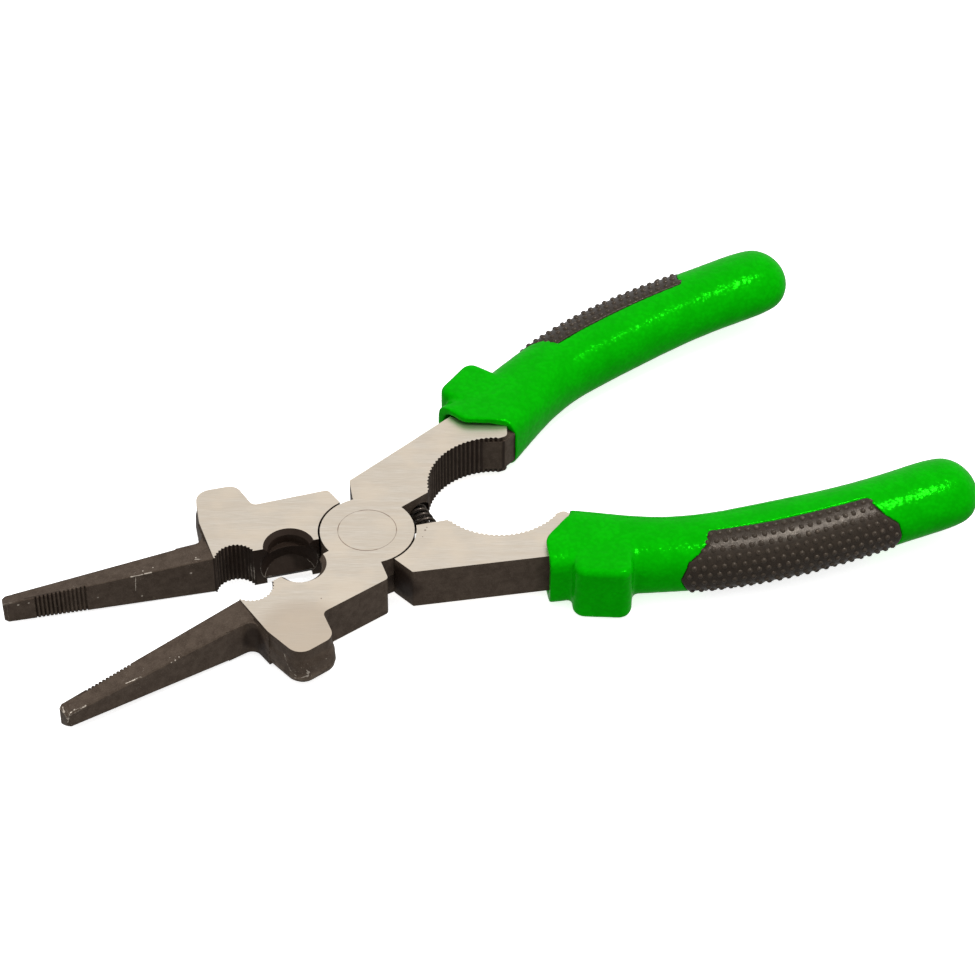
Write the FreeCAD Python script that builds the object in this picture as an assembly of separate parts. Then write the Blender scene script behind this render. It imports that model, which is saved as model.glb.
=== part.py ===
import FreeCAD, Part
import math
import os

# Spring-loaded welding pliers: two forged halves crossing in a lap joint, a flush rivet, a
# return spring behind it, and a dipped sleeve with a rubber pad on each handle.
#
# Frame: +Z up, origin on the pivot axis in the lower ground face. The jaws point along -X and
# the handles along +X. Each half is drawn closed, with its jaw on +Y and its handle on -Y,
# and is then turned about the pivot to its half-open rest position.

Vector = FreeCAD.Vector
PIVOT = Vector(0, 0, 0)
UP = Vector(0, 0, 1)
ALONG_Y = Vector(0, 1, 0)

# Driving dimensions, in millimetres and degrees
THICKNESS = 10.3            # of the ground steel, face to face
REST_HALF_OPENING = 11.8    # each half is turned by this from closed
BOSS_RADIUS = 10.25
BOSS_RING_GAP = 0.45        # ring of air round each boss
LAP_GAP = 0.06              # running gap between the two lapped faces
RIVET_HEAD_RADIUS = 6.34
RIVET_SHANK_RADIUS = 4.2
RIVET_HEAD_DEPTH = 2.0
RIVET_CLEARANCE = 0.03      # in the half that turns on the rivet

NOSE_ROOT_X = -33.6
NOSE_TIP_X = -79.2
NOSE_TIP_CHAMFER = 0.8
# Width, then the low and high edge of the gripping side, then those of the outer side
NOSE_ROOT_SECTION = (6.4, 0.15, 10.15, 0.35, 9.9)
NOSE_TIP_SECTION = (3.25, 2.4, 7.9, 3.4, 7.4)
NOSE_EDGE_CHAMFER = 0.35
NOSE_TEETH_START_X = -61.7
NOSE_TEETH_PITCH = 0.88
NOSE_TEETH_COUNT = 13
NOSE_TEETH_DEPTH = 0.5

HAMMER_LUG_TOP_Y = 21.3
JAW_BACK_Y = 14.1
LUG_UNDERCUT = 1.6          # height of the rounding under the hammer lug
# Forging draft round the hammer lug: level, and how far the lug swells there
LUG_DRAFT = ((7.8, 0.0), (5.8, 0.4), (2.8, 0.55), (1.6, 0.3), (0.7, -0.45), (0.0, -1.5))

TIP_NOTCH_CENTRE = (-29.3, -1.7)    # serrated notch for contact tips
TIP_NOTCH_RADIUS = 4.4
TIP_NOTCH_TEETH = 12

CUTTER_CENTRE_X = -17.4             # round wire cutter next to the pivot
CUTTER_MOUTH_CENTRE_Y = -0.55
CUTTER_MOUTH_RADIUS = 5.6
CUTTER_MOUTH_CHAMFER = 1.0
CUTTER_HOLE_DEPTH = 3.1
CUTTER_BOWL_RADIUS = 6.35           # of its rim on the jaw's inner face
CUTTER_BOWL_DEPTH = 3.0
CUTTER_BOWL_DROP = 5.5              # bowl centre, below the upper face
CUTTER_EDGE_DROP = 8.5              # cutting edge, below the upper face
CUTTER_EDGE_SLOPE = 0.9             # rise of the bevel behind the cutting edge

NOZZLE_ARC_CENTRE = (31.0, 5.6)     # serrated arc for gas nozzles, between the handles
NOZZLE_ARC_RADIUS = 14.7
NOZZLE_TEETH = 25
TOOTH_DEPTH = 0.38

SPRING_X = 15.2                     # spring socket, along the closed handle
SOCKET_RADIUS = 3.1
SOCKET_DEPTH = 5.0
SPRING_RADIUS = 2.5                 # outside of the coil
SPRING_WIRE_RADIUS = 0.42
SPRING_LENGTH = 16.2
SPRING_PITCH = 1.7

TANG_THICKNESS = 8.0
TANG_HALF_WIDTH = 4.0
PAD_DEPTH = 1.7
PAD_STANDS_PROUD = 0.1
PAD_EDGE_FROM_CREST = 0.9
SLEEVE_WALL = 1.9
SLEEVE_LIP = 1.45                   # over the ground faces
MOUTH_POCKET = 4.0                  # how far the sleeve's open mouth reaches in
LOWER_MOUTH_SHIFT, UPPER_MOUTH_SHIFT = 0.0, 1.3     # each sleeve is cut off a little differently
LUG_CENTRE = (49.1, -14.2)
LUG_SLANT = -17.5
LUG_HALF_LENGTH = 6.4
LUG_REACH = 13.9                    # from the grip's centreline
LUG_LOW_Z, LUG_HIGH_Z = -2.05, 11.95

# Centreline of a closed handle's grip, with the half-width, half-height and squareness of
# its section there. A squareness of 2 is an ellipse, and more is squarer.
GRIP_STATIONS = [
    (30.0, -9.6, 9.4, 7.0, 4.2),
    (42.0, -13.6, 9.3, 7.0, 4.0),
    (54.0, -16.7, 8.7, 6.9, 2.7),
    (66.0, -19.4, 8.4, 7.0, 2.4),
    (84.0, -20.4, 8.8, 7.0, 2.4),
    (103.0, -19.2, 8.6, 7.0, 2.2),
    (119.0, -16.9, 8.7, 7.0, 2.0),
    (127.0, -15.6, 8.5, 6.9, 2.0),
]
GRIP_END_LENGTH = 7.4               # of the rounded end past the last station
GRIP_END_ANGLES = (22, 42, 59, 73, 84)

MIDDLE = THICKNESS / 2.0


def rounded_wire(corners, z=0.0):
    """Closed wire in a level plane through (x, y, radius) corners, rounded where radius > 0."""
    edges = []
    first = last = None
    count = len(corners)
    for i, (x, y, radius) in enumerate(corners):
        here = Vector(x, y, z)
        if radius <= 0:
            start = end = here
            arc = None
        else:
            before = Vector(corners[i - 1][0], corners[i - 1][1], z) - here
            after = Vector(corners[(i + 1) % count][0], corners[(i + 1) % count][1], z) - here
            before.normalize()
            after.normalize()
            half_angle = before.getAngle(after) / 2.0
            reach = radius / math.tan(half_angle)
            bisector = before + after
            bisector.normalize()
            middle = here + bisector * (radius / math.sin(half_angle) - radius)
            start, end = here + before * reach, here + after * reach
            arc = Part.Arc(start, middle, end).toShape()
        if last is not None and last.distanceToPoint(start) > 1e-6:
            edges.append(Part.makeLine(last, start))
        if arc is not None:
            edges.append(arc)
        if first is None:
            first = start
        last = end
    if last.distanceToPoint(first) > 1e-6:
        edges.append(Part.makeLine(last, first))
    return Part.Wire(edges)


def slab(corners, low, high):
    """Prism between two levels with the given (x, y, radius) outline."""
    return Part.Face(rounded_wire(corners, low)).extrude(Vector(0, 0, high - low))


def square(points):
    """Plain (x, y) points as corners without rounding."""
    return [(x, y, 0.0) for x, y in points]


def serrated_arc(centre, radius, start, end, teeth):
    """Zigzag corners along an arc, crests on the radius and roots cut outside it."""
    corners = []
    step = (end - start) / teeth
    for i in range(teeth):
        for angle, r in ((start + i * step, radius), (start + (i + 0.5) * step, radius + TOOTH_DEPTH)):
            a = math.radians(angle)
            corners.append((centre[0] + r * math.cos(a), centre[1] + r * math.sin(a), 0.0))
    a = math.radians(end)
    corners.append((centre[0] + radius * math.cos(a), centre[1] + radius * math.sin(a), 0.0))
    return corners


# ---- steel halves ----

def jaw_block():
    """Full-thickness jaw from the pivot to the root of the nose, with its hammer lug."""
    chord = math.degrees(math.asin(-TIP_NOTCH_CENTRE[1] / TIP_NOTCH_RADIUS))
    notch = serrated_arc(TIP_NOTCH_CENTRE, TIP_NOTCH_RADIUS, 180 - chord, chord, TIP_NOTCH_TEETH)
    outline = [
        (0, 0, 0), (-5.4, 14.6, 1.0),
        (-22.3, JAW_BACK_Y, 1.5),
        (-24.6, HAMMER_LUG_TOP_Y, 2.8), (-33.7, HAMMER_LUG_TOP_Y, 3.4),
        (-34.6, 11.5, 8.0), (-33.7, 0, 0),
    ]
    foot = [
        (0, 0, 0), (-5.4, 14.6, 1.0), (-21.9, JAW_BACK_Y, 0), (-24.0, 11.6, 0), (-32.4, 10.6, 0),
        (-33.7, 7.0, 0), (-33.7, 0, 0),
    ]
    return slab(outline + notch, LUG_UNDERCUT, THICKNESS).fuse(slab(foot + notch, 0, LUG_UNDERCUT))


def hammer_draft():
    """Swelling of the hammer lug below its ground face, rounded in again at the underside."""
    wires = []
    for level, swell in LUG_DRAFT:
        wires.append(rounded_wire([
            (-27, 9, 0), (-21.5 + swell, 11.6, 0),
            (-24.6 + swell, HAMMER_LUG_TOP_Y + swell, 2.8 + swell),
            (-33.7 - swell, HAMMER_LUG_TOP_Y + swell, 3.4 + swell),
            (-34.4 - swell, 11.0, 0),
        ], level))
    return Part.makeLoft(wires, True, True)


def nose_section(x, section, shrink=0.0):
    """Chamfered four-sided section across the nose, with its gripping side on y = 0."""
    width, inner_low, inner_high, outer_low, outer_high = section
    c = NOSE_EDGE_CHAMFER
    y0, y1 = shrink, width - shrink
    inner_low, outer_low = inner_low + shrink, outer_low + shrink
    inner_high, outer_high = inner_high - shrink, outer_high - shrink
    ring = [
        (y0, inner_low + c / 2), (y0 + c / 2, inner_low), (y1 - c, outer_low), (y1, outer_low + c),
        (y1, outer_high - c), (y1 - c, outer_high), (y0 + c / 2, inner_high), (y0, inner_high - c / 2),
    ]
    points = [Vector(x, y, z) for y, z in ring]
    return Part.makePolygon(points + points[:1])


def nose():
    """Tapering flat nose with vertical teeth near its tip."""
    shoulder_x = NOSE_TIP_X + NOSE_TIP_CHAMFER
    body = Part.makeLoft([
        nose_section(NOSE_ROOT_X, NOSE_ROOT_SECTION),
        nose_section(shoulder_x, NOSE_TIP_SECTION),
    ], True, True)
    tip = Part.makeLoft([
        nose_section(shoulder_x, NOSE_TIP_SECTION),
        nose_section(NOSE_TIP_X, NOSE_TIP_SECTION, NOSE_TIP_CHAMFER / 2),
    ], True, True)
    root_fillet = slab([
        (-33, 3, 0), (-33, 12, 0), (-34.9, 12, 0), (-34.7, 6.3, 2.2), (-41, 5.8, 0), (-41, 3, 0),
    ], MIDDLE - 4.25, MIDDLE + 4.3)
    grooves = []
    for i in range(NOSE_TEETH_COUNT):
        x = NOSE_TEETH_START_X - i * NOSE_TEETH_PITCH
        half = 0.42 * NOSE_TEETH_PITCH
        groove = [(x - half, -0.1), (x + half, -0.1), (x, NOSE_TEETH_DEPTH)]
        grooves.append(slab(square(groove), 0, THICKNESS))
    return body.fuse([tip, root_fillet]).cut(Part.makeCompound(grooves))


def handle_plate():
    """Full-thickness handle from the pivot to just inside the sleeve's mouth."""
    cx, cy = NOZZLE_ARC_CENTRE
    start = math.degrees(math.atan2(-1.3 - cy, 17.6 - cx)) + 360
    end = math.degrees(math.atan2(-5.5 - cy, 40.65 - cx)) + 360
    arc = serrated_arc(NOZZLE_ARC_CENTRE, NOZZLE_ARC_RADIUS, start, end, NOZZLE_TEETH)
    arc = arc[1:]
    outline = [(0, 0, 0), (10.55, -1.2, 0), (17.6, -1.3, 0.3)] + arc + [
        (42.75, -4.9, 1.2), (45.6, -8.6, 1.5), (38.6, -13.6, 0.5), (36.8, -17.9, 0),
        (6.4, -15.0, 0.5), (3.6, -10.1, 0),
    ]
    return slab(outline, 0, THICKNESS)


def spine_curve(low=0, high=None):
    """Centreline of the closed grip, as a curve through its stations."""
    curve = Part.BSplineCurve()
    curve.interpolate([Vector(s[0], s[1], 0) for s in GRIP_STATIONS[low:high]])
    return curve


def tang():
    """Thinner forged bar inside the sleeve, along the grip's centreline."""
    low, high = MIDDLE - TANG_THICKNESS / 2, MIDDLE + TANG_THICKNESS / 2
    spine = spine_curve(1, -1)
    lift = Vector(0, TANG_HALF_WIDTH, low)
    drop = Vector(0, -TANG_HALF_WIDTH, low)
    upper = spine.toShape().translated(lift)
    lower = spine.toShape().translated(drop)
    first, last = spine.value(spine.FirstParameter), spine.value(spine.LastParameter)
    end = Part.Arc(last + drop, last + Vector(TANG_HALF_WIDTH - 1, 0, low), last + lift).toShape()
    close = Part.makeLine(first + lift, first + drop)
    bar = Part.Face(Part.Wire([upper, end, lower, close])).extrude(Vector(0, 0, high - low))
    root = slab([
        (34, -16.9, 0), (36, -9, 0), (41.6, -4.7, 2.0), (46.6, -5.6, 2.5), (53, -11, 3.0),
        (56, -20.5, 0),
    ], low, high)
    return bar.fuse(root)


def cutter_cuts():
    """Chamfered mouth, shallow bowl and back bevel of the wire cutter, as one shape to remove."""
    x, y = CUTTER_CENTRE_X, CUTTER_MOUTH_CENTRE_Y
    hole_radius = CUTTER_MOUTH_RADIUS - CUTTER_MOUTH_CHAMFER
    hole = Part.makeCylinder(
        hole_radius, CUTTER_HOLE_DEPTH, Vector(x, y, THICKNESS - CUTTER_HOLE_DEPTH), UP)
    chamfer = Part.makeCone(
        hole_radius, CUTTER_MOUTH_RADIUS, CUTTER_MOUTH_CHAMFER,
        Vector(x, y, THICKNESS - CUTTER_MOUTH_CHAMFER), UP)
    ball_radius = (CUTTER_BOWL_RADIUS ** 2 + CUTTER_BOWL_DEPTH ** 2) / (2 * CUTTER_BOWL_DEPTH)
    ball = Part.makeSphere(
        ball_radius, Vector(x, CUTTER_BOWL_DEPTH - ball_radius, THICKNESS - CUTTER_BOWL_DROP))
    edge_z = THICKNESS - CUTTER_EDGE_DROP
    above_edge = [
        (-1, edge_z), (0, edge_z), (4, edge_z + 4 * CUTTER_EDGE_SLOPE), (4, THICKNESS),
        (-1, THICKNESS),
    ]
    points = [Vector(x - ball_radius, across, z) for across, z in above_edge]
    wedge = Part.Face(Part.makePolygon(points + points[:1])).extrude(Vector(2 * ball_radius, 0, 0))
    back = [(-1, edge_z), (0, edge_z), (1.4, -0.1), (-1, -0.1)]
    points = [Vector(x - 5, across, z) for across, z in back]
    back_bevel = Part.Face(Part.makePolygon(points + points[:1])).extrude(Vector(10, 0, 0))
    return hole.fuse([chamfer, ball.common(wedge), back_bevel])


def rivet(clearance=0.0):
    """Rivet with two countersunk heads ground flush, or its hole when given a clearance."""
    shank = RIVET_SHANK_RADIUS + clearance
    head = RIVET_HEAD_RADIUS + clearance
    lower_head = Part.makeCone(head, shank, RIVET_HEAD_DEPTH, PIVOT, UP)
    upper_head = Part.makeCone(
        shank, head, RIVET_HEAD_DEPTH, Vector(0, 0, THICKNESS - RIVET_HEAD_DEPTH), UP)
    return Part.makeCylinder(shank, THICKNESS, PIVOT, UP).fuse([lower_head, upper_head])


def spring_socket():
    """Blind hole in the handle's inner face that seats one end of the spring."""
    mouth = Vector(SPRING_X, 1, MIDDLE)
    return Part.makeCylinder(SOCKET_RADIUS, SOCKET_DEPTH + 2.25, mouth, -ALONG_Y)


def closed_half(boss_is_low, rivet_clearance):
    """One half in the closed position. Its boss fills either the lower or the upper layer."""
    low_top = MIDDLE - LAP_GAP / 2
    high_bottom = MIDDLE + LAP_GAP / 2
    ring = BOSS_RADIUS + BOSS_RING_GAP
    if boss_is_low:
        boss = Part.makeCylinder(BOSS_RADIUS, low_top, PIVOT, UP)
        room = Part.makeCylinder(ring, THICKNESS, Vector(0, 0, low_top), UP)
    else:
        boss = Part.makeCylinder(BOSS_RADIUS, THICKNESS - high_bottom, Vector(0, 0, high_bottom), UP)
        room = Part.makeCylinder(ring, THICKNESS, Vector(0, 0, high_bottom - THICKNESS), UP)
    plate = jaw_block().fuse([hammer_draft(), handle_plate()]).cut(room)
    body = plate.fuse([boss, nose(), tang()])
    body = body.cut([rivet(rivet_clearance), spring_socket(), cutter_cuts()])
    return body.removeSplitter()


# ---- grips ----

def grip_section(centre, tangent, half_width, half_height, squareness):
    """Superellipse across the grip, as a closed wire."""
    across = UP.cross(tangent)
    points = []
    count = 32
    for i in range(count):
        c, s = math.cos(2 * math.pi * i / count), math.sin(2 * math.pi * i / count)
        u = math.copysign(abs(c) ** (2 / squareness), c) * half_width
        w = math.copysign(abs(s) ** (2 / squareness), s) * half_height
        points.append(centre + across * u + UP * w)
    section = Part.BSplineCurve()
    section.interpolate(points, PeriodicFlag=True)
    return Part.Wire([section.toShape()])


def grip_body(inset=(0.0, 0.0)):
    """Curved grip of rounded section with a domed end, inset sideways and in height."""
    curve = spine_curve()
    sections = []
    for x, y, half_width, half_height, squareness in GRIP_STATIONS:
        tangent = curve.tangent(curve.parameter(Vector(x, y, 0)))[0]
        half_width, half_height = half_width - inset[0], half_height - inset[1]
        centre = Vector(x, y, MIDDLE)
        sections.append(grip_section(centre, tangent, half_width, half_height, squareness))
    for degrees in GRIP_END_ANGLES:
        a = math.radians(degrees)
        along = centre + tangent * (GRIP_END_LENGTH - inset[0]) * math.sin(a)
        shrink = math.cos(a)
        sections.append(grip_section(along, tangent, half_width * shrink, half_height * shrink, 2.0))
    return Part.makeLoft(sections, True, False)


def finger_lug():
    """Rounded stop that keeps the hand off the steel, on the outer side of the grip."""
    reach, half = -LUG_REACH, LUG_HALF_LENGTH
    block = slab(
        [(-half, -1, 0), (-half, reach, 2.8), (half, reach, 2.8), (half, -1, 0)],
        LUG_LOW_Z, LUG_HIGH_Z)
    block = block.makeFillet(1.4, [
        e for e in block.Edges
        if min(abs(e.CenterOfMass.z - LUG_LOW_Z), abs(e.CenterOfMass.z - LUG_HIGH_Z)) < 0.01
        and e.CenterOfMass.y < -1.1
    ])
    block.rotate(PIVOT, UP, LUG_SLANT)
    block.translate(Vector(LUG_CENTRE[0], LUG_CENTRE[1], 0))
    return block


def pivot_side(shift):
    """Everything on the pivot's side of the sleeve's slanted mouth, moved along X by shift."""
    outline = [
        (0, -40, 0), (32.9 + shift, -40, 0), (36.0 + shift, -13.9, 4.0), (43.9 + shift, -7.2, 4.0),
        (44.4 + shift, 12, 0), (0, 12, 0),
    ]
    return slab(outline, -10, THICKNESS + 10)


def pad_window():
    """Outline of the rubber pad, seen from the grip's outer side, cut to that side only."""
    low, high = -3.0, THICKNESS + 3.0
    ring = [
        (62.6, MIDDLE), (64.4, MIDDLE - 4.0), (73.0, low), (105.4, low), (112.6, MIDDLE - 3.2),
        (113.4, MIDDLE), (112.6, MIDDLE + 3.2), (105.4, high), (73.0, high), (64.4, MIDDLE + 4.0),
    ]
    points = [Vector(x, -45, z) for x, z in ring]
    window = Part.Face(Part.makePolygon(points + points[:1])).extrude(Vector(0, 45, 0))
    crest = spine_curve(2).toShape().translated(Vector(0, -PAD_EDGE_FROM_CREST, low))
    a, b = crest.Vertexes[0].Point, crest.Vertexes[-1].Point
    far_a, far_b = Vector(a.x, -45, low), Vector(b.x, -45, low)
    sides = [crest, Part.makeLine(b, far_b), Part.makeLine(far_b, far_a), Part.makeLine(far_a, a)]
    outer_side = Part.Face(Part.Wire(sides)).extrude(Vector(0, 0, high - low))
    return window.common(outer_side)


def closed_pad():
    """Rubber pad that wraps the outer side of the grip, a little proud of the sleeve."""
    outer = grip_body((-PAD_STANDS_PROUD, -PAD_STANDS_PROUD))
    inner = grip_body((PAD_DEPTH, PAD_DEPTH))
    return outer.common(pad_window()).cut(inner)


def closed_sleeve(half, pad, mouth_shift):
    """Dipped sleeve: grip and lug, open at the mouth, with room for the steel and the pad."""
    pocket = grip_body((SLEEVE_WALL, SLEEVE_LIP)).common(pivot_side(mouth_shift + MOUTH_POCKET))
    body = grip_body().fuse(finger_lug())
    body = body.cut(pivot_side(mouth_shift))
    body = body.cut([pocket, half, pad])
    return max(body.Solids, key=lambda solid: solid.Volume)


def return_spring():
    """Close-wound compression spring across the handles, straight in the rest position."""
    radius = SPRING_RADIUS - SPRING_WIRE_RADIUS
    helix = Part.makeHelix(SPRING_PITCH, SPRING_LENGTH - 2 * SPRING_WIRE_RADIUS, radius)
    wire = Part.Wire([Part.makeCircle(
        SPRING_WIRE_RADIUS, Vector(radius, 0, 0), ALONG_Y)])
    coil = Part.Wire(helix.Edges).makePipeShell([wire], True, True)
    coil.translate(Vector(0, 0, SPRING_WIRE_RADIUS - SPRING_LENGTH / 2))
    coil.rotate(PIVOT, Vector(1, 0, 0), 90)
    tilt = math.radians(REST_HALF_OPENING)
    coil.translate(Vector(SPRING_X * math.cos(tilt) - 0.7, 0, MIDDLE))
    return coil


# ---- assembly ----

def placed(shape, near_handle):
    """A closed shape turned to the rest position. The far handle's half is mirrored first."""
    shape = shape.copy()
    if near_handle:
        shape.rotate(PIVOT, UP, -REST_HALF_OPENING)
        return shape
    shape = shape.mirror(PIVOT, ALONG_Y)
    shape.rotate(PIVOT, UP, REST_HALF_OPENING)
    return shape


def write(name, shape):
    """Save one sub-part as a STEP file."""
    shape.exportStep(os.path.join("parts", name + ".step"))


def main():
    os.makedirs("parts", exist_ok=True)
    lower = closed_half(True, 0.0)
    upper = closed_half(False, RIVET_CLEARANCE)
    pad = closed_pad()
    steel = lower.fuse(upper)
    for side, half, near, shift in (
            ("lower", lower, True, LOWER_MOUTH_SHIFT), ("upper", upper, False, UPPER_MOUTH_SHIFT)):
        sleeve = closed_sleeve(steel, pad, shift)
        write(side + "_half", placed(half, near))
        write(side + "_sleeve", placed(sleeve, near))
        write(side + "_pad", placed(pad, near))
    write("pivot_rivet", rivet())
    write("return_spring", return_spring())


main()
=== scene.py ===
"""Looks for the welding pliers: ground and blackened steel, green dipped sleeves, dotted rubber pads."""

import math

import bmesh
import bpy
import numpy as np
from mathutils import Matrix, Vector, noise
from mathutils.bvhtree import BVHTree


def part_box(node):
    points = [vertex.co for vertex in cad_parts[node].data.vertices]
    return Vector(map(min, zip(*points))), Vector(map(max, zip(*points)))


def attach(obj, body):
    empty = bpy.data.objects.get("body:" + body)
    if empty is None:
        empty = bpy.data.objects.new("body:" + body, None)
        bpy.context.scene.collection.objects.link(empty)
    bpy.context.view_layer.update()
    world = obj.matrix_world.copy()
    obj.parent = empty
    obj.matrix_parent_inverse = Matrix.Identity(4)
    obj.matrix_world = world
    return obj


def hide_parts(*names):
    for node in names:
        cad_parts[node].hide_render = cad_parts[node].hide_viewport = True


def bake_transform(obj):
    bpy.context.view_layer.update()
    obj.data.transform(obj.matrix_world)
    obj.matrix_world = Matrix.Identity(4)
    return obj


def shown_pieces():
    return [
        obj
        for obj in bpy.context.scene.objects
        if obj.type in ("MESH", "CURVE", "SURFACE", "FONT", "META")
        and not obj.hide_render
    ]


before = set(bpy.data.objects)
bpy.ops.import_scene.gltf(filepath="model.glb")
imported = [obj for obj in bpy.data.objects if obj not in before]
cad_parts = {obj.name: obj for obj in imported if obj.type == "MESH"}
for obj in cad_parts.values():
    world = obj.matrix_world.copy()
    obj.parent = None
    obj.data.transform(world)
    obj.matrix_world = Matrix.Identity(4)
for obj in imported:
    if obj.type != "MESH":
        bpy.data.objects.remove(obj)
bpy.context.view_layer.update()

MM = 0.001
LOWER, UPPER = "lower_lever", "upper_lever"

REST_HALF_OPENING = math.radians(11.8)
JAW_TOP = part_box("lower_half")[1].z
MID_Z = JAW_TOP / 2

# Centre line of a grip with the tool shut, in mm: x and y, for the lower half.
GRIP_LINE = [
    (30, -9.6), (42, -13.6), (54, -16.7), (66, -19.4),
    (84, -20.4), (103, -19.2), (119, -16.9), (127, -15.6),
]
GRIP_LINE_STEPS = 400
GRIP_RADIUS = 8 * MM
OUTSIDE_GRIP = 30 * MM
PAD_MIDDLE = 0.62

SLEEVE_VOXEL = 0.28 * MM
SLEEVE_LEAST_HOLLOW = 0.002 * MM
SLEEVE_FILLET_ROUNDS = 45
PAD_VOXEL = 0.24 * MM
PAD_UNEVENNESS = 0.04 * MM
WELD_DISTANCE = 0.002 * MM

DOT_RADIUS = 0.60 * MM
DOT_HEIGHT = 0.42 * MM
DOT_PITCH = 2.05 * MM
DOT_ROW_PITCH = 1.95 * MM
DOT_EDGE_MARGIN = 0.85 * MM
DOT_SINK = 0.15 * MM
DOT_RINGS, DOT_SEGMENTS = 4, 12
DOT_SEED = 11
DOT_STRAY = 0.03 * MM
DOT_SIZE_SPREAD = 0.04

SPRING_WIRE = 0.42 * MM
SPRING_PITCH = 1.7 * MM
SPRING_CLOSED_PITCH = 2.1 * SPRING_WIRE
SPRING_CLOSED_TURNS = 1.0
SPRING_STEPS, SPRING_SEGMENTS = 36, 12


# ---------------------------------------------------------------- meshes

def own_mesh(obj, bm):
    bm.to_mesh(obj.data)
    bm.free()
    obj.data.update()


def linked(name, data):
    obj = bpy.data.objects.new(name, data)
    bpy.context.scene.collection.objects.link(obj)
    return obj


def copy_of(node, name):
    """A welded copy of a CAD node's mesh, without its shading normals and materials."""
    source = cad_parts[node].data
    bm = bmesh.new()
    bm.from_mesh(source)
    bmesh.ops.remove_doubles(bm, verts=bm.verts, dist=WELD_DISTANCE)
    mesh = bpy.data.meshes.new(name)
    bm.to_mesh(mesh)
    bm.free()
    return linked(name, mesh)


def remeshed(obj, voxel):
    """obj with an even skin of small faces."""
    mod = obj.modifiers.new("skin", "REMESH")
    mod.mode = "VOXEL"
    mod.voxel_size = voxel
    mod.use_smooth_shade = True
    graph = bpy.context.evaluated_depsgraph_get()
    mesh = bpy.data.meshes.new_from_object(obj.evaluated_get(graph))
    obj.modifiers.clear()
    obj.data = mesh
    return obj


def points_of(mesh):
    co = np.empty(len(mesh.vertices) * 3, np.float32)
    mesh.vertices.foreach_get("co", co)
    return co.reshape(-1, 3).astype(float)


def set_points(mesh, points):
    mesh.vertices.foreach_set("co", points.astype(np.float32).ravel())
    mesh.update()


def normals_of(mesh):
    n = np.empty(len(mesh.vertices) * 3, np.float32)
    mesh.vertex_normals.foreach_get("vector", n)
    return n.reshape(-1, 3).astype(float)


class Skin:
    """Moves the vertices of a mesh by their neighbours."""

    def __init__(self, obj):
        self.mesh = obj.data
        edges = np.empty(len(self.mesh.edges) * 2, np.int32)
        self.mesh.edges.foreach_get("vertices", edges)
        self.a, self.b = edges.reshape(-1, 2).T
        self.count = len(self.mesh.vertices)
        degree = np.bincount(self.a, minlength=self.count) + np.bincount(self.b, minlength=self.count)
        self.degree = np.maximum(degree, 1)[:, None]
        self.points = points_of(self.mesh)

    def pull(self):
        """From each vertex to the middle of its neighbours."""
        total = np.empty_like(self.points)
        for axis in range(3):
            v = self.points[:, axis]
            total[:, axis] = np.bincount(self.a, v[self.b], self.count)
            total[:, axis] += np.bincount(self.b, v[self.a], self.count)
        return total / self.degree - self.points

    def soften(self, rounds):
        """Rounds edges; the surface moves in a little there."""
        for _ in range(rounds):
            self.points += 0.5 * self.pull()

    def fill_hollows(self, rounds, least):
        """Turns inside corners into soft fillets."""
        for _ in range(rounds):
            set_points(self.mesh, self.points)
            pull = self.pull()
            out = np.einsum("ij,ij->i", pull, normals_of(self.mesh))
            self.points += 0.6 * pull * (out > least)[:, None]

    def swell(self, amount):
        """amount(point) in metres along each vertex's normal."""
        set_points(self.mesh, self.points)
        n = normals_of(self.mesh)
        self.points += n * np.array([amount(Vector(p)) for p in self.points])[:, None]

    def done(self):
        set_points(self.mesh, self.points)


# ---------------------------------------------------------------- materials

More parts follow.
